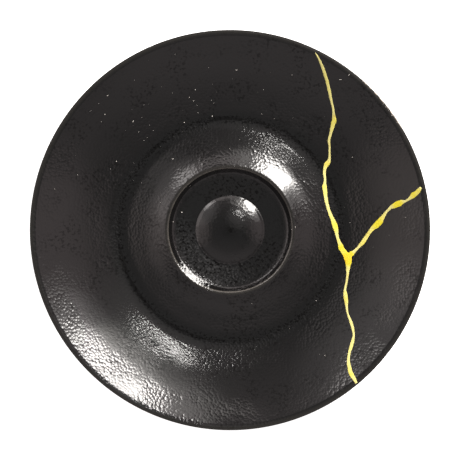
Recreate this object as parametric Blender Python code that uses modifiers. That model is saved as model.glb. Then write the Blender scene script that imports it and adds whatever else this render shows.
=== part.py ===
"""A turned stoneware saucer with a raised button inside its cup seat.

One outline runs from the middle of the top out to the lip and back under to the middle.  It is
made of straight runs with a rounded corner between each two, and is spun about the upright
axis.  Lengths are in metres, the origin is the middle of the foot ring's underside, +Z is up.
"""

import math

import bpy
from mathutils import Vector

# Diameters that a potter would measure across the saucer
OUTER_DIAMETER = 0.1500
VALLEY_DIAMETER = 0.0832
WELL_MOUTH_DIAMETER = 0.0468
BUTTON_DIAMETER = 0.0246

# Foot ring and clay thickness
FOOT_HEIGHT = 0.0030
FOOT_WIDTH = 0.0040
FOOT_DRAFT = 0.0004
BODY_THICKNESS = 0.0038
LIP_THICKNESS = 0.0031

# Rim, from the valley up to the lip
RIM_LOWER_RISE = 0.0042
RIM_UPPER_RISE = 0.0064
LIP_WIDTH = 0.0015
LIP_DROP = 0.0002

# Hill, from the valley up to the mouth of the well
HILL_LOWER_RISE = 0.0023
HILL_UPPER_RISE = 0.0038

# Well that takes the foot of a cup
WELL_DEPTH = 0.0021
WELL_WALL_RUN = 0.0016
SEAT_FLARE_RUN = 0.0014
SEAT_FLARE_RISE = 0.0003

# Raised button in the middle of the well
BUTTON_CROWN = 0.0025
BUTTON_SIDE_RISE = 0.0006
BUTTON_SIDE_RUN = 0.0005

# Radii of the rounded corners
VALLEY_ROUND = 0.0190
RIM_BEND_ROUND = 0.1700
HILL_BEND_ROUND = 0.0550
LIP_TOP_ROUND = 0.0029
LIP_OUTER_ROUND = 0.0007
LIP_UNDER_ROUND = 0.0020
MOUTH_ROUND = 0.0017
WELL_FLOOR_ROUND = 0.0019
BUTTON_EDGE_ROUND = 0.0006
BUTTON_FOOT_ROUND = 0.0008
FOOT_ROOT_ROUND = 0.0016
FOOT_EDGE_ROUND = 0.0005

# Facets
STEPS_AROUND = 84
BUTTON_STEPS = 5
ARC_SAG = 0.00005
LEAST_ARC_STEPS = 2
FULL_SIDE = 0.98
SHARP_CORNER = 0.0

GLAZE_COLOUR = (0.012, 0.011, 0.011, 1.0)
GLAZE_ROUGHNESS = 0.34
GLAZE_METALLIC = 0.0

# Radii and heights worked out from the sizes above
lip_radius = OUTER_DIAMETER / 2 - LIP_WIDTH
valley_radius = VALLEY_DIAMETER / 2
mouth_radius = WELL_MOUTH_DIAMETER / 2
well_floor_radius = mouth_radius - WELL_WALL_RUN
button_radius = BUTTON_DIAMETER / 2
rim_bend_radius = (valley_radius + lip_radius) / 2
hill_bend_radius = (valley_radius + mouth_radius) / 2

valley_height = FOOT_HEIGHT + BODY_THICKNESS
rim_bend_height = valley_height + RIM_LOWER_RISE
lip_height = rim_bend_height + RIM_UPPER_RISE
hill_bend_height = valley_height + HILL_LOWER_RISE
mouth_height = hill_bend_height + HILL_UPPER_RISE
seat_height = mouth_height - WELL_DEPTH
button_edge_height = seat_height + BUTTON_SIDE_RISE


def clear_scene():
    """Remove every object that the scene starts with."""
    for thing in list(bpy.data.objects):
        bpy.data.objects.remove(thing)


def button_cap():
    """Points on the button's crown, from its top on the axis out to its edge.

    The crown is part of a sphere: with edge radius a and height h, its radius is
    (a * a + h * h) / (2 * h).
    """
    sphere = (button_radius ** 2 + BUTTON_CROWN ** 2) / (2 * BUTTON_CROWN)
    centre_height = button_edge_height + BUTTON_CROWN - sphere
    edge_angle = math.asin(button_radius / sphere)
    points = []
    for step in range(BUTTON_STEPS):
        angle = edge_angle * step / BUTTON_STEPS
        points.append(Vector((sphere * math.sin(angle), centre_height + sphere * math.cos(angle))))
    return points


def top_corners():
    """Corners of the top, from the button's edge out to the lip: radius, height, rounding."""
    button_foot_radius = button_radius + BUTTON_SIDE_RUN
    flare_radius = well_floor_radius - SEAT_FLARE_RUN
    flare_top = seat_height + SEAT_FLARE_RISE
    return [
        (button_radius, button_edge_height, BUTTON_EDGE_ROUND),
        (button_foot_radius, seat_height, BUTTON_FOOT_ROUND),
        (flare_radius, seat_height, SHARP_CORNER),
        (well_floor_radius, flare_top, WELL_FLOOR_ROUND),
        (mouth_radius, mouth_height, MOUTH_ROUND),
        (hill_bend_radius, hill_bend_height, HILL_BEND_ROUND),
        (valley_radius, valley_height, VALLEY_ROUND),
        (rim_bend_radius, rim_bend_height, RIM_BEND_ROUND),
        (lip_radius, lip_height, LIP_TOP_ROUND),
    ]


def lip_corners():
    """Corners of the lip's edge, from its top down to its underside."""
    edge_radius = OUTER_DIAMETER / 2
    edge_height = lip_height - LIP_DROP
    return [
        (edge_radius, edge_height, LIP_OUTER_ROUND),
        (edge_radius, edge_height - LIP_THICKNESS, LIP_UNDER_ROUND),
    ]


def under_height(radius, bend_radius, bend_height):
    """Height of the clay's underside at a radius, between the valley and a bend in the top."""
    share = (radius - valley_radius) / (bend_radius - valley_radius)
    return valley_height + (bend_height - valley_height) * share - BODY_THICKNESS


def foot_corners():
    """Corners of the foot ring, which stands under the valley, from outside to inside."""
    outer = valley_radius + FOOT_WIDTH / 2
    inner = valley_radius - FOOT_WIDTH / 2
    outer_root = outer + FOOT_DRAFT
    inner_root = inner - FOOT_DRAFT
    return [
        (outer_root, under_height(outer_root, rim_bend_radius, rim_bend_height), FOOT_ROOT_ROUND),
        (outer, 0.0, FOOT_EDGE_ROUND),
        (inner, 0.0, FOOT_EDGE_ROUND),
        (inner_root, under_height(inner_root, hill_bend_radius, hill_bend_height), FOOT_ROOT_ROUND),
    ]


def under_corners():
    """Corners of the underside, from the rim in to the axis, one clay thickness below the top."""
    hollow_radius = (hill_bend_radius + mouth_radius) / 2
    hollow_height = seat_height - BODY_THICKNESS
    return [
        (rim_bend_radius, rim_bend_height - BODY_THICKNESS, SHARP_CORNER),
        *foot_corners(),
        (hill_bend_radius, hill_bend_height - BODY_THICKNESS, SHARP_CORNER),
        (hollow_radius, hollow_height, SHARP_CORNER),
        (0.0, hollow_height, SHARP_CORNER),
    ]


def arc_reaches(places, roundings):
    """Distance from each corner to where its arc touches the two sides.

    An arc of radius R that turns by an angle T reaches R * tan(T / 2) along each side.  Where
    two arcs would meet on a side, both are drawn in until they fit on it.
    """
    reaches = [0.0] * len(places)
    for i in range(1, len(places) - 1):
        turn = (places[i] - places[i - 1]).angle(places[i + 1] - places[i])
        reaches[i] = roundings[i] * math.tan(turn / 2)
    fits = [1.0] * len(places)
    for i in range(len(places) - 1):
        side = (places[i + 1] - places[i]).length * FULL_SIDE
        fit = side / max(side, reaches[i] + reaches[i + 1])
        fits[i] = min(fits[i], fit)
        fits[i + 1] = min(fits[i + 1], fit)
    return [reach * fit for reach, fit in zip(reaches, fits)]


def arc_steps(radius, turn):
    """Facets on an arc, so that no facet's middle lies more than ARC_SAG inside the arc."""
    facet_turn = 2 * math.acos(1 - ARC_SAG / max(radius, ARC_SAG))
    return max(LEAST_ARC_STEPS, math.ceil(turn / facet_turn))


def corner_arc(before, corner, after, reach):
    """Points of the arc that rounds a corner, or the corner itself where it stays sharp."""
    if reach == 0.0:
        return [corner]
    to_before = (before - corner).normalized()
    to_after = (after - corner).normalized()
    half_turn = (-to_before).angle(to_after) / 2
    radius = reach / math.tan(half_turn)
    centre = corner + (to_before + to_after).normalized() * radius / math.cos(half_turn)
    start = (corner + to_before * reach - centre).normalized()
    end = (corner + to_after * reach - centre).normalized()
    steps = arc_steps(radius, 2 * half_turn)
    return [centre + start.slerp(end, step / steps) * radius for step in range(steps + 1)]


def rounded(start, corners):
    """Outline from a start point along the corners to the last one, with their roundings."""
    places = [start] + [Vector(corner[:2]) for corner in corners]
    roundings = [SHARP_CORNER] + [corner[2] for corner in corners]
    reaches = arc_reaches(places, roundings)
    points = []
    for i in range(1, len(places) - 1):
        points += corner_arc(places[i - 1], places[i], places[i + 1], reaches[i])
    return points + [places[-1]]


def saucer_outline():
    """The whole outline, from the top of the button round the lip to the axis underneath."""
    cap = button_cap()
    return cap + rounded(cap[-1], top_corners() + lip_corners() + under_corners())


def black_glaze():
    """Black satin glaze."""
    material = bpy.data.materials.new("black_glaze")
    material.use_nodes = True
    shader = material.node_tree.nodes["Principled BSDF"]
    shader.inputs["Base Color"].default_value = GLAZE_COLOUR
    shader.inputs["Roughness"].default_value = GLAZE_ROUGHNESS
    shader.inputs["Metallic"].default_value = GLAZE_METALLIC
    return material


def spin(turned, points):
    """Give an object the outline as edges, and a Screw modifier that turns it about Z."""
    rows = [(point.x, 0.0, point.y) for point in points]
    links = [(i, i + 1) for i in range(len(rows) - 1)]
    turned.data.from_pydata(rows, links, [])
    screw = turned.modifiers.new("turning", "SCREW")
    screw.steps = STEPS_AROUND
    screw.render_steps = STEPS_AROUND
    screw.use_merge_vertices = True
    screw.merge_threshold = 0.00001
    screw.use_smooth_shade = True


def make_saucer():
    """The saucer, one solid turned about the upright axis, in a collection of its own."""
    collection = bpy.data.collections.new("saucer")
    bpy.context.scene.collection.children.link(collection)
    saucer = bpy.data.objects.new("saucer", bpy.data.meshes.new("saucer"))
    collection.objects.link(saucer)
    spin(saucer, saucer_outline())
    saucer.data.materials.append(black_glaze())


clear_scene()
make_saucer()
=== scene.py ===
"""A black glazed saucer with a gold seam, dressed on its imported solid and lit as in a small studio.

Lengths are in metres and +Z is up.  The saucer stands on the floor with its middle at the origin.
Azimuths count from the right of the picture (+X) towards its top (+Y).
"""

import bpy
import numpy as np
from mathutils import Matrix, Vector


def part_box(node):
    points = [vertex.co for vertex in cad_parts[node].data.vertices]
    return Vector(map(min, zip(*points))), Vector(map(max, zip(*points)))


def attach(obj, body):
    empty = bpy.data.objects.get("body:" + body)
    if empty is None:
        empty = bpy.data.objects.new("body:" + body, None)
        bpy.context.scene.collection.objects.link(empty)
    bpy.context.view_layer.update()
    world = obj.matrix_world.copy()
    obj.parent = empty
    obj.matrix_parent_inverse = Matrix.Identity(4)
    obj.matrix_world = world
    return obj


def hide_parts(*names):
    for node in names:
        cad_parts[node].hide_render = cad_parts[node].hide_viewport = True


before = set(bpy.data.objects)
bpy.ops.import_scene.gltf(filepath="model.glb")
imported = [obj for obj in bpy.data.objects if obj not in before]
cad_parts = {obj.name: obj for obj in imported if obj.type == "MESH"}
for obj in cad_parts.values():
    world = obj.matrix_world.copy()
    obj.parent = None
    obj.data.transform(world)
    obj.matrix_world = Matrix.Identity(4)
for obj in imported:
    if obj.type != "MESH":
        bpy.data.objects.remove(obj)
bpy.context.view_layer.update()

# Saucer body: one turned piece of stoneware, glazed black all over but for the ring it stands on.
# It is turned leather-hard, trimmed to a foot ring, dipped in glaze and fired once.
# The saucer's box gives the outer radius and the height; the rest is measured across the saucer.
saucer_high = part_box("saucer")[1]
outer_radius = saucer_high.x
overall_height = saucer_high.z

button_radius = 0.0119
button_side_run = 0.0011
flare_radius = 0.0203
wall_foot_radius = 0.02165
mouth_radius = 0.0238
hill_bend_radius = 0.0299
valley_radius = 0.0416
rim_bend_radius = 0.0575
lip_bend_radius = 0.0728
lip_radius = 0.0739

foot_height = 0.0030
foot_width = 0.0040
foot_draft = 0.0004
body_thickness = 0.0038
lip_thickness = 0.0031
rim_lower_rise = 0.00396
rim_upper_rise = 0.00636
lip_rise = 0.00025
lip_drop = 0.00006
hill_lower_rise = 0.00318
hill_upper_rise = 0.00284
wall_rise = 0.00170
flare_rise = 0.0004
seat_rise = 0.0007
button_side_rise = 0.0006
button_crown = 0.0024
film_room = 0.00007

button_edge_round = 0.0020
button_foot_round = 0.0010
flare_round = 0.0090
wall_foot_round = 0.0018
mouth_round = 0.00125
hill_bend_round = 0.0420
valley_round = 0.0175
rim_bend_round = 0.1600
lip_bend_round = 0.0015
lip_round = 0.0012
lip_outer_round = 0.0002
lip_under_round = 0.0020
foot_root_round = 0.0016
foot_edge_round = 0.0005
sharp = 0.0

valley_height = foot_height + body_thickness
rim_bend_height = valley_height + rim_lower_rise
lip_bend_height = rim_bend_height + rim_upper_rise
lip_height = lip_bend_height + lip_rise
hill_bend_height = valley_height + hill_lower_rise
mouth_height = hill_bend_height + hill_upper_rise
wall_foot_height = mouth_height - wall_rise
flare_height = wall_foot_height - flare_rise
seat_height = flare_height - seat_rise
button_edge_height = seat_height + button_side_rise
hollow_height = flare_height - body_thickness
hollow_radius = (hill_bend_radius + mouth_radius) / 2

turns_around = 384
cap_points = 24
longest_step = 0.00082
hidden_step = 0.0026
arc_step_angle = 0.15
least_arc_steps = 3
arc_side_share = 0.98


def button_cap():
    """Points on the button's crown, from the axis out to its edge.

    The crown is part of a sphere: with edge radius a and height h its radius is (a a + h h) / 2 h.
    """
    sphere = (button_radius ** 2 + button_crown ** 2) / (2 * button_crown)
    centre = button_edge_height + button_crown - sphere
    angle = np.linspace(0.0, np.arcsin(button_radius / sphere), cap_points)
    return np.stack([sphere * np.sin(angle), centre + sphere * np.cos(angle)], axis=1)


def under_height(radius, bend_radius, bend_height):
    """Height of the underside: the straight run from the valley to a bend, one thickness lower."""
    share = (radius - valley_radius) / (bend_radius - valley_radius)
    return valley_height + (bend_height - valley_height) * share - body_thickness


def saucer_corners():
    """Corners from the button's edge round the lip to the axis: radius, height and rounding."""
    edge_height = lip_height - lip_drop
    outer, inner = valley_radius + foot_width / 2, valley_radius - foot_width / 2
    outer_root, inner_root = outer + foot_draft, inner - foot_draft
    return np.array([
        (button_radius, button_edge_height, button_edge_round),
        (button_radius + button_side_run, seat_height, button_foot_round),
        (flare_radius, flare_height, flare_round),
        (wall_foot_radius, wall_foot_height, wall_foot_round),
        (mouth_radius, mouth_height, mouth_round),
        (hill_bend_radius, hill_bend_height, hill_bend_round),
        (valley_radius, valley_height, valley_round),
        (rim_bend_radius, rim_bend_height, rim_bend_round),
        (lip_bend_radius, lip_bend_height, lip_bend_round),
        (lip_radius, lip_height, lip_round),
        (outer_radius, edge_height, lip_outer_round),
        (outer_radius, edge_height - lip_thickness, lip_under_round),
        (rim_bend_radius, rim_bend_height - body_thickness, sharp),
        (outer_root, under_height(outer_root, rim_bend_radius, rim_bend_height), foot_root_round),
        (outer, 0.0, foot_edge_round),
        (inner, 0.0, foot_edge_round),
        (inner_root, under_height(inner_root, hill_bend_radius, hill_bend_height), foot_root_round),
        (hill_bend_radius, hill_bend_height - body_thickness, sharp),
        (hollow_radius, hollow_height, sharp),
        (0.0, hollow_height, sharp),
    ])


def corner_arc(corner, before, after, reach):
    """Arc that rounds a corner, from one reach before it to one reach after it.

    With the line turning by T there, the arc's radius is reach / tan(T / 2).  Its point at angle t
    is the start + radius * (sin t along the first side + (1 - cos t) towards the arc's inside).
    """
    turn = np.arccos(np.clip(before @ after, -1.0, 1.0))
    if reach == 0.0 or turn == 0.0:
        return corner[None]
    radius = reach / np.tan(turn / 2)
    left = np.sign(before[0] * after[1] - before[1] * after[0])
    inside = left * np.array([-before[1], before[0]])
    facets = max(turn / arc_step_angle, radius * turn / longest_step)
    steps = max(least_arc_steps, int(np.ceil(facets)))
    angle = np.linspace(0.0, turn, steps + 1)[:, None]
    return corner - reach * before + radius * (np.sin(angle) * before + (1 - np.cos(angle)) * inside)


def rounded_outline(start, corners):
    """Outline from a start point along the corners, with an arc in each.

    An arc of radius R in a turn T reaches R * tan(T / 2) along each side.  Where two arcs would
    meet on a side, both are drawn in until they fill arc_side_share of it.
    """
    places = np.vstack([start, corners[:, :2]])
    sides = np.diff(places, axis=0)
    lengths = np.linalg.norm(sides, axis=1)
    along = sides / lengths[:, None]
    turns = np.arccos(np.clip((along[:-1] * along[1:]).sum(axis=1), -1.0, 1.0))
    reaches = np.concatenate([[0.0], corners[:-1, 2] * np.tan(turns / 2), [0.0]])
    room = arc_side_share * lengths
    fit = room / np.maximum(room, reaches[:-1] + reaches[1:])
    reaches *= np.minimum(np.append(fit, 1.0), np.append(1.0, fit))
    arcs = [corner_arc(places[i + 1], along[i], along[i + 1], reaches[i + 1])
            for i in range(len(turns))]
    return np.vstack(arcs + [places[-1:]])


def even_steps(points, longest):
    """The same line with each gap cut into equal steps, none over the longest length for it."""
    gaps = np.linalg.norm(np.diff(points, axis=0), axis=1)
    cuts = np.ceil(gaps / longest[: len(gaps)]).astype(int).clip(1)
    gap = np.repeat(np.arange(len(gaps)), cuts)
    step = np.arange(len(gap)) - np.repeat(np.cumsum(cuts) - cuts, cuts)
    share = (step / cuts[gap])[:, None]
    return np.vstack([points[gap] * (1 - share) + points[gap + 1] * share, points[-1:]])


def saucer_outline():
    """The outline of the saucer's half section, with even steps, fitted to the saucer's height.

    Its top stays lower than the box by the room that the gold film needs where it meets the lip.
    """
    cap = button_cap()
    line = np.vstack([cap[:-1], rounded_outline(cap[-2], saucer_corners())])
    lip = int(line[:, 1].argmax())
    hidden = (np.arange(len(line)) > lip) & (line[:, 0] < lip_bend_radius)
    line = even_steps(line, np.where(hidden, hidden_step, longest_step))
    line[:, 1] *= (overall_height - film_room) / line[:, 1].max()
    return line


outline = saucer_outline()
lip_point = int(outline[:, 1].argmax())
edge_point = int(outline[:, 0].argmax())
top_line = outline[: edge_point + 1]

wave_lengths = np.linspace(0.014, 0.052, 8)
wave_height_share = 0.0004
wave_seed = 41
calm_lip = 0.002
calm_run = 0.008


def kiln_waviness(x, y):
    """How far the fired top stands off the turned form, in metres.

    A sum of eight cosine waves that run across the saucer in different directions, 14 to 52 mm
    long, each 4 micrometres high for every 10 mm of its length, faded out at the lip.
    """
    draw = np.random.default_rng(wave_seed)
    total = np.zeros_like(x)
    for length in wave_lengths:
        heading, phase = draw.uniform(0.0, 2 * np.pi, 2)
        along = x * np.cos(heading) + y * np.sin(heading)
        total += wave_height_share * length * np.cos(2 * np.pi * along / length + phase)
    inside_lip = lip_radius - calm_lip - np.hypot(x, y)
    return total * np.clip(inside_lip / calm_run, 0.0, 1.0)


def glaze_height(x, y):
    """Height of the glazed top at a place: the outline's height at that radius and the waviness."""
    return np.interp(np.hypot(x, y), top_line[:, 0], top_line[:, 1]) + kiln_waviness(x, y)


def add_piece(name, points, faces, material):
    """A mesh object at the origin with smooth faces and one material."""
    mesh = bpy.data.meshes.new(name)
    mesh.from_pydata(points.tolist(), [], [face.tolist() for face in faces])
    mesh.polygons.foreach_set("use_smooth", np.ones(len(mesh.polygons), dtype=bool))
    mesh.materials.append(material)
    mesh.update()
    piece = bpy.data.objects.new(name, mesh)
    bpy.context.scene.collection.objects.link(piece)
    return piece


def turned_mesh(line, turns):
    """The line spun about the upright axis: point (r, z) at angle a goes to (r cos a, r sin a, z).

    The line's two ends lie on the axis and give one vertex each, with a fan of triangles around it.
    """
    angle = np.arange(turns) * 2 * np.pi / turns
    radius, height = line[1:-1, 0], line[1:-1, 1]
    x, y = np.outer(radius, np.cos(angle)), np.outer(radius, np.sin(angle))
    z = np.repeat(height[:, None], turns, axis=1)
    on_top = (np.arange(len(radius)) < lip_point)[:, None]
    z = z + on_top * kiln_waviness(x, y)
    rings = np.stack([x, y, z], axis=2).reshape(-1, 3)
    centre = line[0, 1] + kiln_waviness(np.zeros(1), np.zeros(1))[0]
    points = np.vstack([rings, [(0.0, 0.0, centre), (0.0, 0.0, line[-1, 1])]])
    index = np.arange(len(rings)).reshape(len(radius), turns)
    inner, outer = index[:-1], index[1:]
    quads = np.stack([inner, outer, np.roll(outer, -1, 1), np.roll(inner, -1, 1)], axis=2).reshape(-1, 4)
    first, last = index[0], index[-1]
    cap = np.stack([np.full(turns, len(rings)), first, np.roll(first, -1)], axis=1)
    base = np.stack([np.full(turns, len(rings) + 1), np.roll(last, -1), last], axis=1)
    return points, [*quads, *cap, *base]


class Wiring:
    """The nodes of one material or world, with a short way to add and join them."""

    def __init__(self, owner):
        owner.use_nodes = True
        self.tree = owner.node_tree

    def add(self, kind, operation=None, **inputs):
        """Add a node; each input is named with _ for a space, or in0, in1 ... by its order."""
        node = self.tree.nodes.new(kind)
        if operation:
            node.operation = operation
        for name, value in inputs.items():
            numbered = name[:2] == "in" and name[2:].isdigit()
            self.set(node.inputs[int(name[2:]) if numbered else name.replace("_", " ")], value)
        return node

    def set(self, socket, value):
        """Join a socket to an output, or set it to a value."""
        if isinstance(value, bpy.types.NodeSocket):
            self.tree.links.new(value, socket)
        else:
            socket.default_value = value

    def maths(self, operation, *values):
        """Result of a Math node on the values."""
        inputs = {f"in{i}": value for i, value in enumerate(values)}
        return self.add("ShaderNodeMath", operation, **inputs).outputs[0]

    def product(self, first, *others):
        """The values multiplied together."""
        for other in others:
            first = self.maths("MULTIPLY", first, other)
        return first

    def off(self, value, middle):
        """How far a value lies from a middle value, on either side of it."""
        return self.maths("ABSOLUTE", self.maths("SUBTRACT", value, middle))

    def distance(self, place, point):
        """How far a place lies from a point."""
        return self.add("ShaderNodeVectorMath", "DISTANCE", in0=place, in1=point).outputs["Value"]

    def span(self, value, low, high, out_low=0.0, out_high=1.0):
        """A value carried smoothly from one range to another."""
        node = self.add("ShaderNodeMapRange", Value=value, From_Min=low, From_Max=high,
                        To_Min=out_low, To_Max=out_high)
        node.interpolation_type = "SMOOTHSTEP"
        return node.outputs[0]

    def noise(self, place, scale, detail=2.0, roughness=0.5):
        """Height of a noise pattern, about 0.5 on average."""
        return self.add("ShaderNodeTexNoise", Vector=place, Scale=scale, Detail=detail,
                        Roughness=roughness).outputs[0]

    def blend(self, share, first, second):
        """Colour between two colours."""
        node = self.add("ShaderNodeMix")
        node.data_type = "RGBA"
        for socket, value in ((0, share), (6, first), (7, second)):
            self.set(node.inputs[socket], value)
        return node.outputs[2]


dark_glaze = (0.0019, 0.0018, 0.0018, 1.0)
soft_glaze = (0.0030, 0.0027, 0.0026, 1.0)
thin_glaze = (0.058, 0.053, 0.046, 1.0)
rubbed_clay = (0.46, 0.40, 0.33, 1.0)
dark_clay = (0.16, 0.105, 0.07, 1.0)
light_clay = (0.30, 0.21, 0.145, 1.0)
worn_line_radius = 0.02325
mid_rim_radius = 0.0580
chipped_place = (0.0574, 0.0482, 0.017)


def thin_share(wires, radius, height, clouds):
    """Where the glaze is thin: on the well's mouth, on a worn line inside it and towards the lip."""
    mouth = wires.span(wires.off(radius, mouth_radius), 0.0002, 0.0008, 1.0, 0.0)
    worn_line = wires.span(wires.off(radius, worn_line_radius), 0.00008, 0.00025, 1.0, 0.0)
    thin = wires.maths("ADD", wires.product(mouth, 0.25), wires.product(worn_line, 1.1))
    on_top = wires.span(height, seat_height - 0.0005, seat_height + 0.0005)
    uneven = wires.span(clouds, 0.25, 0.55, 0.4, 1.0)
    thin = wires.product(wires.maths("MINIMUM", thin, 1.0), on_top, uneven)
    towards_lip = wires.span(radius, lip_bend_radius - 0.0001, outer_radius - 0.0002)
    return wires.maths("MAXIMUM", thin, wires.product(towards_lip, 0.22))


def rubbed_share(wires, place, radius, peel):
    """Where the lip's edge is rubbed down to the clay, in grains around its chips."""
    near_chips = wires.span(wires.distance(place, chipped_place), 0.007, 0.015, 1.0, 0.0)
    at_edge = wires.span(radius, outer_radius - 0.00045, outer_radius - 0.00020)
    return wires.product(near_chips, at_edge, wires.span(peel, 0.42, 0.56))


def shine_level(wires, place, right, up, radius, clouds):
    """How strongly the glaze mirrors: less in its pits, more in glints at the seat's lower left.

    The pits lie in patches all over, along the valley and in parts of the seat, and the middle of
    the button is dull.
    """
    patches = wires.span(wires.noise(place, 90.0), 0.46, 0.62, 0.05, 0.7)
    in_valley = wires.span(wires.off(radius, valley_radius), 0.0006, 0.0026, 1.2, 0.0)
    lower_left = wires.span(wires.maths("ADD", right, up), -0.020, -0.004, 1.0, 0.0)
    in_seat = wires.maths("MAXIMUM", lower_left, wires.span(clouds, 0.42, 0.62, 0.0, 0.8))
    inside_wall = wires.span(radius, flare_radius - 0.0005, flare_radius + 0.0009, 1.5, 0.0)
    round_button = wires.span(radius, button_radius - 0.0001, button_radius + 0.0013)
    in_seat = wires.product(in_seat, inside_wall, round_button)
    pitted = wires.maths("MAXIMUM", patches, wires.maths("MAXIMUM", in_seat, in_valley))
    pits = wires.product(wires.span(wires.noise(place, 950.0), 0.51, 0.64), pitted)
    button_middle = wires.span(radius, 0.0015, 0.0050, 0.45, 0.0)
    level = wires.maths("MULTIPLY_ADD", wires.maths("MAXIMUM", pits, button_middle), -0.30, 0.5)
    glints = wires.span(wires.noise(place, 1250.0, 1.0), 0.50, 0.62)
    glints = wires.product(glints, lower_left, wires.maths("MINIMUM", in_seat, 1.0))
    return wires.maths("MULTIPLY_ADD", glints, 0.5, level)


def orange_peel(wires, place, radius, peel, grain):
    """The glaze's skin: round dimples with a fine grain, stronger in some patches than in others.

    It is calmer on the button, halfway up the rim and at the lip.
    """
    patches = wires.span(wires.noise(place, 70.0, 1.0), 0.36, 0.64, 0.35, 1.4)
    at_lip = wires.span(radius, lip_radius - 0.0003, lip_radius + 0.0006, 1.0, 0.1)
    mid_rim = wires.span(wires.off(radius, mid_rim_radius), 0.0030, 0.0085, 0.35, 1.15)
    on_button = wires.span(radius, button_radius - 0.0014, button_radius + 0.0016, 0.6, 1.0)
    strength = wires.product(patches, at_lip, mid_rim, on_button)
    cells = wires.add("ShaderNodeTexVoronoi", Vector=place, Scale=980.0, Randomness=0.9)
    cells = cells.outputs["Distance"]
    dimples = wires.product(wires.maths("MULTIPLY_ADD", wires.product(cells, cells), 1.9, peel), strength)
    skin = wires.add("ShaderNodeBump", Strength=1.0, Distance=0.000023, Height=dimples).outputs[0]
    fine = wires.add("ShaderNodeBump", Strength=1.0, Distance=0.000008, Height=grain, Normal=skin)
    return fine.outputs[0]


def black_glaze():
    """Satin black glaze with an orange-peel skin, and bare brown clay where the saucer stands."""
    material = bpy.data.materials.new("black_glaze")
    wires = Wiring(material)
    shader = wires.tree.nodes["Principled BSDF"]
    place = wires.add("ShaderNodeTexCoord").outputs["Object"]
    right, up, height = wires.add("ShaderNodeSeparateXYZ", in0=place).outputs
    flat_place = wires.add("ShaderNodeCombineXYZ", X=right, Y=up).outputs[0]
    radius = wires.add("ShaderNodeVectorMath", "LENGTH", in0=flat_place).outputs["Value"]
    clouds = wires.noise(place, 55.0, 3.0)
    peel = wires.noise(place, 900.0, 2.0, 0.55)
    grain = wires.noise(place, 2400.0, 1.0)

    glaze_line = wires.maths("MULTIPLY_ADD", clouds, 0.0006, 0.00005)
    bare = wires.maths("LESS_THAN", height, glaze_line)
    rubbed = rubbed_share(wires, place, radius, peel)
    colour = wires.blend(clouds, dark_glaze, soft_glaze)
    colour = wires.blend(thin_share(wires, radius, height, clouds), colour, thin_glaze)
    colour = wires.blend(rubbed, colour, rubbed_clay)
    colour = wires.blend(bare, colour, wires.blend(grain, dark_clay, light_clay))
    wires.set(shader.inputs["Base Color"], colour)

    satin = wires.span(clouds, 0.3, 0.7, 0.10, 0.13)
    dull = wires.product(wires.maths("MAXIMUM", bare, rubbed), 0.8)
    wires.set(shader.inputs["Roughness"], wires.maths("MAXIMUM", satin, dull))
    shader.inputs["IOR"].default_value = 1.53
    wires.set(shader.inputs["Specular IOR Level"], shine_level(wires, place, right, up, radius, clouds))
    wires.set(shader.inputs["Normal"], orange_peel(wires, place, radius, peel, grain))
    return material


saucer_body = add_piece("saucer_body", *turned_mesh(outline, turns_around), black_glaze())
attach(saucer_body, "root")
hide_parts("saucer")

# Gold seam: a line of gold lacquer over a crack that splits in two, as on a mended pot.
# It is brushed on after the glaze firing and lies on the glaze as a film, thickest in its middle.
# Each row is a place on its centre line and half its width there, in millimetres.
long_arm = np.array([
    (31.9, 66.5, 0.10), (32.9, 64.8, 0.30), (33.9, 62.8, 0.44), (34.9, 60.3, 0.54), (36.1, 56.7, 0.60),
    (37.1, 52.7, 0.58), (37.8, 49.3, 0.48), (38.6, 46.0, 0.42), (38.9, 43.5, 0.48), (39.1, 41.6, 0.78),
    (38.8, 40.1, 0.84), (37.7, 35.9, 0.50), (37.2, 33.6, 0.48), (37.4, 31.0, 0.36), (37.4, 28.2, 0.40),
    (37.3, 26.6, 0.52), (36.8, 25.3, 0.84), (36.1, 24.3, 0.84), (35.6, 22.8, 0.55), (35.5, 21.4, 0.57),
    (35.7, 19.2, 0.42), (35.6, 17.6, 0.54), (35.6, 16.0, 0.84), (36.0, 12.3, 0.68), (36.9, 8.2, 0.55),
    (38.4, 4.3, 0.74), (39.2, 2.3, 0.94), (39.7, 0.7, 0.90), (40.1, -1.3, 0.64), (40.5, -3.0, 0.56),
    (41.1, -4.8, 0.70), (41.7, -6.4, 1.04), (42.3, -7.5, 0.98), (43.3, -8.9, 1.08), (44.2, -10.1, 1.55),
    (44.5, -11.4, 1.36), (44.4, -12.9, 1.00), (44.3, -15.0, 0.62), (44.1, -17.4, 0.44), (43.7, -20.0, 0.41),
    (43.2, -22.3, 0.44), (43.3, -24.0, 0.70), (43.6, -26.2, 0.74), (43.8, -28.8, 0.48), (44.2, -31.4, 0.33),
    (44.9, -33.3, 0.43), (45.6, -35.1, 0.56), (46.1, -37.2, 0.50), (46.4, -39.3, 0.38), (46.0, -41.6, 0.58),
    (45.5, -43.5, 0.64), (44.7, -46.0, 0.50), (44.4, -48.5, 0.50), (44.5, -50.4, 0.64), (45.0, -52.7, 0.76),
    (45.5, -54.1, 0.82), (46.3, -55.5, 0.70), (47.4, -57.4, 0.40),
])
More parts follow.
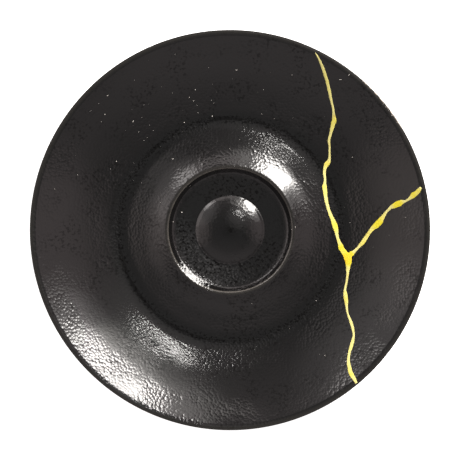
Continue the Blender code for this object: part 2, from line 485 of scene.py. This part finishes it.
side_arm = np.array([
    (43.9, -10.6, 0.40), (45.6, -9.0, 1.05), (46.5, -8.2, 0.64), (47.6, -7.1, 0.47), (48.4, -6.3, 0.50),
    (49.3, -5.3, 0.72), (50.2, -4.2, 0.80), (51.3, -2.5, 0.71), (52.6, -0.5, 0.69), (53.8, 0.8, 0.86),
    (55.1, 1.9, 1.14), (56.1, 3.0, 1.18), (57.0, 4.3, 0.90), (58.1, 6.0, 0.58), (58.9, 7.1, 0.44),
    (60.2, 8.3, 0.56), (61.4, 9.0, 0.94), (63.0, 9.8, 1.18), (64.3, 10.4, 0.95), (65.4, 10.7, 0.50),
    (66.4, 11.2, 0.40), (67.5, 12.0, 0.62), (68.7, 13.0, 1.02), (69.8, 13.9, 0.90), (70.7, 14.9, 0.80),
    (71.4, 16.0, 0.40),
])
millimetre = 0.001
brush_width = 1.08
brush_wobble = 0.10
film_shares = np.array([-1.0, -0.86, -0.5, 0.0, 0.5, 0.86, 1.0, 0.5, -0.5])
long_crown = 0.000060
side_crown = 0.8 * long_crown
long_seed = 5
side_seed = 8
thinnest_film = 0.35
seam_sink = 0.000040
seam_step = 0.00030
widest_half = 0.0012


def smooth_line(rows, step):
    """A smooth curve through the rows, as points about one step apart.

    Between rows b and c, with a before and d after, each value at share t is the Catmull-Rom cubic
    (2 b + (c - a) t + (2 a - 5 b + 4 c - d) t t + (3 b - a - 3 c + d) t t t) / 2.
    """
    full = np.vstack([2 * rows[0] - rows[1], rows, 2 * rows[-1] - rows[-2]])
    gaps = np.linalg.norm(np.diff(rows[:, :2], axis=0), axis=1)
    cuts = np.ceil(gaps / step).astype(int)
    gap = np.repeat(np.arange(len(gaps)), cuts)
    t = ((np.arange(len(gap)) - np.repeat(np.cumsum(cuts) - cuts, cuts)) / cuts[gap])[:, None]
    a, b, c, d = (full[gap + shift] for shift in range(4))
    curve = 2 * b + (c - a) * t + (2 * a - 5 * b + 4 * c - d) * t ** 2 + (3 * b - a - 3 * c + d) * t ** 3
    return np.vstack([curve / 2, rows[-1:]])


def hand_wobble(count, seed):
    """A brush's unsteadiness along a line, about -1 to 1: three sine waves, 9 to 31 steps long."""
    draw = np.random.default_rng(seed)
    step = np.arange(count)
    waves = [np.sin(2 * np.pi * (step / length + draw.random())) for length in (9.0, 17.0, 31.0)]
    return sum(waves) / len(waves)


def painted_strip(rows, seed, lift):
    """A closed film along the rows: its points, faces, and how broad it is at each point, 0 to 1.

    Across the line at share u, from -1 to 1, the top stands lift * (1 - u u) over the glaze, times
    thinnest_film where the line is finest and up to 1 where it is broadest.  The two edge points
    and the two bottom points lie under the glaze.
    """
    line = smooth_line(rows * millimetre, seam_step)
    along = np.gradient(line[:, :2], axis=0)
    along /= np.linalg.norm(along, axis=1)[:, None]
    across = np.stack([-along[:, 1], along[:, 0]], axis=1)
    rise = lift * (1 - film_shares ** 2)
    rise[-2:] = -2 * seam_sink
    left = 1 + brush_wobble * hand_wobble(len(line), seed)
    right = 1 + brush_wobble * hand_wobble(len(line), seed + 1)
    half = brush_width * line[:, 2:3] * np.where(film_shares > 0, left[:, None], right[:, None])
    x = line[:, 0:1] + across[:, 0:1] * film_shares * half
    y = line[:, 1:2] + across[:, 1:2] * film_shares * half
    fullness = np.clip(line[:, 2:3] / widest_half, 0.0, 1.0)
    z = glaze_height(x, y) + rise * (thinnest_film + (1 - thinnest_film) * np.sqrt(fullness))
    z = z - seam_sink * (film_shares ** 2 == 1)
    points = np.stack([x, y, z], axis=2).reshape(-1, 3)
    index = np.arange(len(points)).reshape(x.shape)
    first, last = index[:-1], index[1:]
    sides = np.stack([first, np.roll(first, -1, 1), np.roll(last, -1, 1), last], axis=2).reshape(-1, 4)
    faces = [*sides, index[0][::-1], index[-1]]
    return points, faces, np.repeat(fullness, len(film_shares), axis=1).ravel()


thin_gold = (0.59, 0.54, 0.20, 1.0)
broad_gold = (0.60, 0.51, 0.020, 1.0)
old_gold = (0.45, 0.34, 0.06, 1.0)
pooled_gold = (0.78, 0.48, 0.02, 1.0)
fork_place = (0.0441, -0.0105, 0.0073)


def gold_lacquer():
    """Satin gold: paler where the line is thin, deeper where it is broad, deepest at the fork."""
    material = bpy.data.materials.new("gold_seam")
    wires = Wiring(material)
    shader = wires.tree.nodes["Principled BSDF"]
    place = wires.add("ShaderNodeTexCoord").outputs["Object"]
    broad = wires.add("ShaderNodeAttribute")
    broad.attribute_name = "broad"
    strokes = wires.noise(place, 420.0, 3.0, 0.6)
    leaf = wires.noise(place, 1900.0)
    streaks = wires.maths("MULTIPLY_ADD", strokes, 0.5, -0.25)
    depth = wires.span(wires.maths("ADD", broad.outputs["Fac"], streaks), 0.35, 0.95)
    old = wires.span(strokes, 0.56, 0.70, 0.0, 0.55)
    pooled = wires.span(wires.distance(place, fork_place), 0.0012, 0.0026, 0.8, 0.0)
    colour = wires.blend(old, wires.blend(depth, thin_gold, broad_gold), old_gold)
    wires.set(shader.inputs["Base Color"], wires.blend(pooled, colour, pooled_gold))
    shader.inputs["Specular IOR Level"].default_value = 0.3
    wires.set(shader.inputs["Roughness"], wires.span(leaf, 0.3, 0.7, 0.50, 0.65))
    dimples = wires.add("ShaderNodeBump", Strength=1.0, Distance=0.00002, Height=leaf)
    wires.set(shader.inputs["Normal"], dimples.outputs[0])
    return material


long_points, long_faces, long_broad = painted_strip(long_arm, long_seed, long_crown)
side_points, side_faces, side_broad = painted_strip(side_arm, side_seed, side_crown)
seam_faces = long_faces + [face + len(long_points) for face in side_faces]
gold_seam = add_piece("gold_seam", np.vstack([long_points, side_points]), seam_faces, gold_lacquer())
broad_values = gold_seam.data.attributes.new("broad", "FLOAT", "POINT")
broad_values.data.foreach_set("value", np.concatenate([long_broad, side_broad]).astype(np.float32))
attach(gold_seam, "root")

# Specks: grains of pale clay dust that stuck to the glaze in the kiln, most of them in one part of
# the rim, and small chips and scratches that show the clay.  Each row is the place of one and its
# radius, in millimetres; a scratch has its length and its heading in degrees instead.
marked_specks = np.array([
    (-45.9, 50.3, 0.22), (-46.9, 43.3, 0.20), (-36.4, 40.8, 0.26), (-15.3, 49.8, 0.22), (-13.0, 52.7, 0.17),
    (-13.7, 48.5, 0.17), (-6.1, 47.7, 0.15), (-6.6, 42.8, 0.21), (-17.2, 40.4, 0.22), (-34.3, 36.8, 0.15),
    (-31.1, 34.8, 0.13), (-32.4, 33.7, 0.16), (-42.6, 25.8, 0.18), (-57.2, 20.7, 0.16), (-65.7, 15.4, 0.13),
    (-49.2, 47.3, 0.12), (-20.5, 65.8, 0.12), (-8.0, 60.9, 0.13), (-18.1, 6.6, 0.24), (-21.3, 3.1, 0.17),
    (12.5, 52.7, 0.13), (11.9, 43.6, 0.17), (16.7, 41.8, 0.12), (23.2, 58.2, 0.16), (45.9, 27.3, 0.15),
    (32.4, -26.5, 0.18), (35.6, -47.1, 0.17), (24.5, 1.1, 0.17), (45.1, 2.8, 0.13), (65.8, 4.8, 0.14),
    (57.5, 47.2, 0.12), (58.4, 46.1, 0.18), (59.4, 44.7, 0.14), (60.7, 42.9, 0.19), (62.6, 40.4, 0.13),
])
scratches = np.array([
    (2.4, 60.0, 1.1, 0.0), (41.3, 56.3, 1.3, 0.0), (44.5, 58.0, 1.6, 55.0), (-21.5, 26.7, 0.8, 8.0),
])
fine_specks = 46
wide_specks = 15
finest_radii = (0.06, 0.12)
scatter_seed = 23
grain_seed = 77
cloud_middle = (-24.0, 44.0)
cloud_spread = (21.0, 13.0)
speckled_radius = 71.0
speckled_half = 66.0
speck_sides = 9
speck_sink = 0.00001
speck_peak_share = 0.35
scratch_half = 0.13


def fine_speck_rows():
    """Places and radii of the finest specks: a cloud round the upper left, with a few elsewhere."""
    draw = np.random.default_rng(scatter_seed)
    near = draw.normal(cloud_middle, cloud_spread, (fine_specks, 2))
    wide = draw.uniform(-speckled_half, speckled_half, (wide_specks, 2))
    places = np.vstack([near, wide])
    places = places[np.hypot(places[:, 0], places[:, 1]) < speckled_radius]
    return np.column_stack([places, draw.uniform(*finest_radii, len(places))])


def speck_mesh(rows):
    """One low grain for each row: x, y, radius, stretch along its heading, heading in radians.

    Its rim is a ring at radius * (0.8 to 1.2) a little under the glaze, its top one point
    speck_peak_share of the radius above the glaze, and its bottom one point as far below.
    """
    draw = np.random.default_rng(grain_seed)
    angle = np.arange(speck_sides) * 2 * np.pi / speck_sides
    reach = rows[:, 2:3] * draw.uniform(0.8, 1.2, (len(rows), speck_sides))
    long, side = reach * np.cos(angle) * rows[:, 3:4], reach * np.sin(angle)
    turn = rows[:, 4:5]
    x = (rows[:, 0:1] + long * np.cos(turn) - side * np.sin(turn)) * millimetre
    y = (rows[:, 1:2] + long * np.sin(turn) + side * np.cos(turn)) * millimetre
    ring = np.stack([x, y, glaze_height(x, y) - speck_sink], axis=2)
    middle = rows[:, :2] * millimetre
    ground = glaze_height(middle[:, 0], middle[:, 1])[:, None]
    lift = speck_peak_share * rows[:, 2:3] * millimetre
    top = np.hstack([middle, np.minimum(ground + lift, overall_height)])[:, None]
    bottom = np.hstack([middle, ground - lift])[:, None]
    points = np.concatenate([ring, top, bottom], axis=1)
    start = (np.arange(len(rows)) * (speck_sides + 2))[:, None]
    here = start + np.arange(speck_sides)
    onward = np.roll(here, -1, 1)
    peak = np.broadcast_to(start + speck_sides, here.shape)
    upper = np.stack([here, onward, peak], axis=2).reshape(-1, 3)
    lower = np.stack([onward, here, peak + 1], axis=2).reshape(-1, 3)
    return points.reshape(-1, 3), [*upper, *lower]


dark_speck = (0.30, 0.27, 0.24, 1.0)
light_speck = (0.75, 0.72, 0.68, 1.0)


def pale_clay():
    """Dry pale clay, a little uneven in colour."""
    material = bpy.data.materials.new("pale_clay")
    wires = Wiring(material)
    shader = wires.tree.nodes["Principled BSDF"]
    place = wires.add("ShaderNodeTexCoord").outputs["Object"]
    shade = wires.noise(place, 300.0, 1.0)
    wires.set(shader.inputs["Base Color"], wires.blend(shade, dark_speck, light_speck))
    shader.inputs["Roughness"].default_value = 0.7
    return material


round_specks = np.vstack([marked_specks, fine_speck_rows()])
unstretched = np.tile((1.0, 0.0), (len(round_specks), 1))
round_specks = np.hstack([round_specks, unstretched])
half_widths = np.full(len(scratches), scratch_half)
stretches = scratches[:, 2] / (2 * scratch_half)
long_specks = np.column_stack([scratches[:, :2], half_widths, stretches, np.radians(scratches[:, 3])])
specks = add_piece("glaze_specks", *speck_mesh(np.vstack([round_specks, long_specks])), pale_clay())
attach(specks, "root")

# Floor: a wide sheet of smooth white card that the saucer stands on.  It glows as a lit table
# does, so that it comes out clean white with hardly a shadow.
floor_half = 6.0
floor_gap = 0.00005
card_white = (0.90, 0.90, 0.89, 1.0)
card_bright = (0.93, 0.93, 0.925, 1.0)
card_glow = (1.0, 1.0, 1.0, 1.0)


def white_card():
    """Matt white card that glows."""
    material = bpy.data.materials.new("white_card")
    wires = Wiring(material)
    shader = wires.tree.nodes["Principled BSDF"]
    place = wires.add("ShaderNodeTexCoord").outputs["Object"]
    fibres = wires.noise(place, 900.0, 2.0)
    wires.set(shader.inputs["Base Color"], wires.blend(fibres, card_white, card_bright))
    shader.inputs["Roughness"].default_value = 0.9
    shader.inputs["Specular IOR Level"].default_value = 0.2
    shader.inputs["Emission Color"].default_value = card_glow
    shader.inputs["Emission Strength"].default_value = 0.90
    return material


floor_corners = np.array([(-1, -1), (1, -1), (1, 1), (-1, 1)]) * floor_half
floor_points = np.column_stack([floor_corners, np.full(4, -floor_gap)])
floor = add_piece("floor", floor_points, [np.arange(4)], white_card())

# Light: one large softbox at the upper right, a small lamp above it, and white walls around that
# are brightest halfway up.  Straight above, the camera's stand shows as a small dark spot.
lamp_distance = 1.6


def way(azimuth, polar):
    """Unit vector towards an azimuth and an angle from straight up, both in degrees."""
    a, p = np.radians(azimuth), np.radians(polar)
    return Vector((np.sin(p) * np.cos(a), np.sin(p) * np.sin(a), np.cos(p)))


def add_softbox(name, shape, azimuth, polar, wide, high, radiance, colour):
    """A flat lamp that faces the saucer, wide and high in degrees as seen from it."""
    lamp = bpy.data.lights.new(name, "AREA")
    lamp.shape = shape
    lamp.size = 2 * lamp_distance * np.tan(np.radians(wide) / 2)
    lamp.size_y = 2 * lamp_distance * np.tan(np.radians(high) / 2)
    lamp.energy = np.pi * lamp.size * lamp.size_y * radiance
    lamp.color = colour
    box = bpy.data.objects.new(name, lamp)
    box.location = way(azimuth, polar) * lamp_distance
    box.rotation_euler = box.location.to_track_quat("Z", "Y").to_euler()
    box.visible_camera = False
    bpy.context.scene.collection.objects.link(box)


# Each wall step has an angle from straight up, the radiance there, and green and blue against red.
wall_steps = [
    (90.0, 0.12, 0.92), (64.0, 0.13, 0.92), (55.0, 0.38, 0.92), (48.0, 0.50, 0.92), (44.0, 0.50, 0.92),
    (38.0, 0.46, 0.93), (33.0, 0.37, 0.94), (28.0, 0.29, 0.97), (14.0, 0.27, 1.0), (8.0, 0.33, 1.0),
    (5.5, 0.34, 1.0), (3.5, 0.14, 1.0), (0.0, 0.06, 1.0),
]
# Each patch has its azimuth and angle from straight up, the two angles off its middle between
# which it fades out, all in degrees, and its radiance.
wall_patches = [
    (144.0, 48.0, 5.0, 26.0, (0.60, 0.56, 0.55)),
    (131.0, 54.0, 3.0, 11.5, (4.6, 4.4, 4.3)),
    (32.0, 45.0, 2.0, 12.0, (2.0, 1.9, 1.85)),
    (71.0, 46.0, 2.0, 13.0, (2.4, 2.3, 2.2)),
    (56.0, 22.0, 3.0, 20.0, (0.42, 0.39, 0.38)),
    (50.5, 47.5, 5.0, 16.0, (7.5, 7.2, 6.9)),
    (92.0, 59.0, 4.0, 17.0, (1.60, 1.45, 1.42)),
    (118.0, 59.0, 4.0, 17.0, (1.30, 1.16, 1.14)),
    (158.0, 59.0, 4.0, 17.0, (1.20, 1.08, 1.06)),
    (182.0, 58.0, 4.0, 16.0, (0.50, 0.45, 0.44)),
    (5.0, 46.0, 6.0, 25.0, (0.42, 0.34, 0.34)),
    (184.0, 47.0, 6.0, 25.0, (0.50, 0.42, 0.40)),
    (262.0, 46.0, 8.0, 42.0, (0.13, 0.115, 0.115)),
]
ramp_radiance = 1.2


def wall_light(wires, look):
    """The steps' light in a direction: one colour for each height, blended between the steps.

    The ramp holds each colour as a share of ramp_radiance, and the result is scaled back up.
    """
    height = wires.add("ShaderNodeSeparateXYZ", in0=look).outputs[2]
    node = wires.add("ShaderNodeValToRGB", in0=height)
    elements = node.color_ramp.elements
    while len(elements) < len(wall_steps):
        elements.new(0.5)
    for element, step in zip(elements, wall_steps):
        element.position = float(np.cos(np.radians(step[0])))
    for element, (_, radiance, tint) in zip(elements, wall_steps):
        share = radiance / ramp_radiance
        element.color = (share, tint * share, tint * share, 1.0)
    return wires.add("ShaderNodeVectorMath", "SCALE", in0=node.outputs[0], Scale=ramp_radiance).outputs[0]


def white_walls():
    """The light from all round: the wall steps with the patches added."""
    world = bpy.data.worlds.new("white_walls")
    bpy.context.scene.world = world
    wires = Wiring(world)
    back = wires.tree.nodes["Background"]
    look = wires.add("ShaderNodeTexCoord").outputs["Generated"]
    total = wall_light(wires, look)
    for azimuth, polar, inner, outer, colour in wall_patches:
        facing = wires.add("ShaderNodeVectorMath", "DOT_PRODUCT", in0=look, in1=way(azimuth, polar))
        edges = np.cos(np.radians((outer, inner))).tolist()
        share = wires.span(facing.outputs["Value"], *edges)
        patch = wires.add("ShaderNodeVectorMath", "SCALE", in0=colour, Scale=share).outputs[0]
        total = wires.add("ShaderNodeVectorMath", "ADD", in0=total, in1=patch).outputs[0]
    wires.set(back.inputs["Color"], total)
    back.inputs["Strength"].default_value = 1.0


add_softbox("main_softbox", "RECTANGLE", azimuth=50.5, polar=61.0, wide=22.0, high=42.6,
            radiance=23.0, colour=(1.0, 0.97, 0.93))
add_softbox("small_lamp", "ELLIPSE", azimuth=61.0, polar=27.3, wide=13.0, high=0.9,
            radiance=50.0, colour=(1.0, 0.97, 0.94))
white_walls()

# Camera: straight above the saucer, far enough off that its rings keep their place.  The saucer's
# radius and middle in the photograph, in pixels, set the width of the view and the camera's place.
photo_side = 460
saucer_pixel_radius = 200.32
camera_distance = 2.4
middle_right, middle_down = 230.01, 230.04

camera_data = bpy.data.cameras.new("camera")
camera = bpy.data.objects.new("camera", camera_data)
bpy.context.scene.collection.objects.link(camera)
half_view = outer_radius * (photo_side / 2) / saucer_pixel_radius
camera_data.lens = camera_data.sensor_width / 2 * camera_distance / half_view
pixel = 2 * half_view / photo_side
camera.location = ((photo_side / 2 - middle_right) * pixel, (middle_down - photo_side / 2) * pixel,
                   overall_height + camera_distance)
bpy.context.scene.camera = camera
bpy.context.scene.view_settings.view_transform = "Standard"
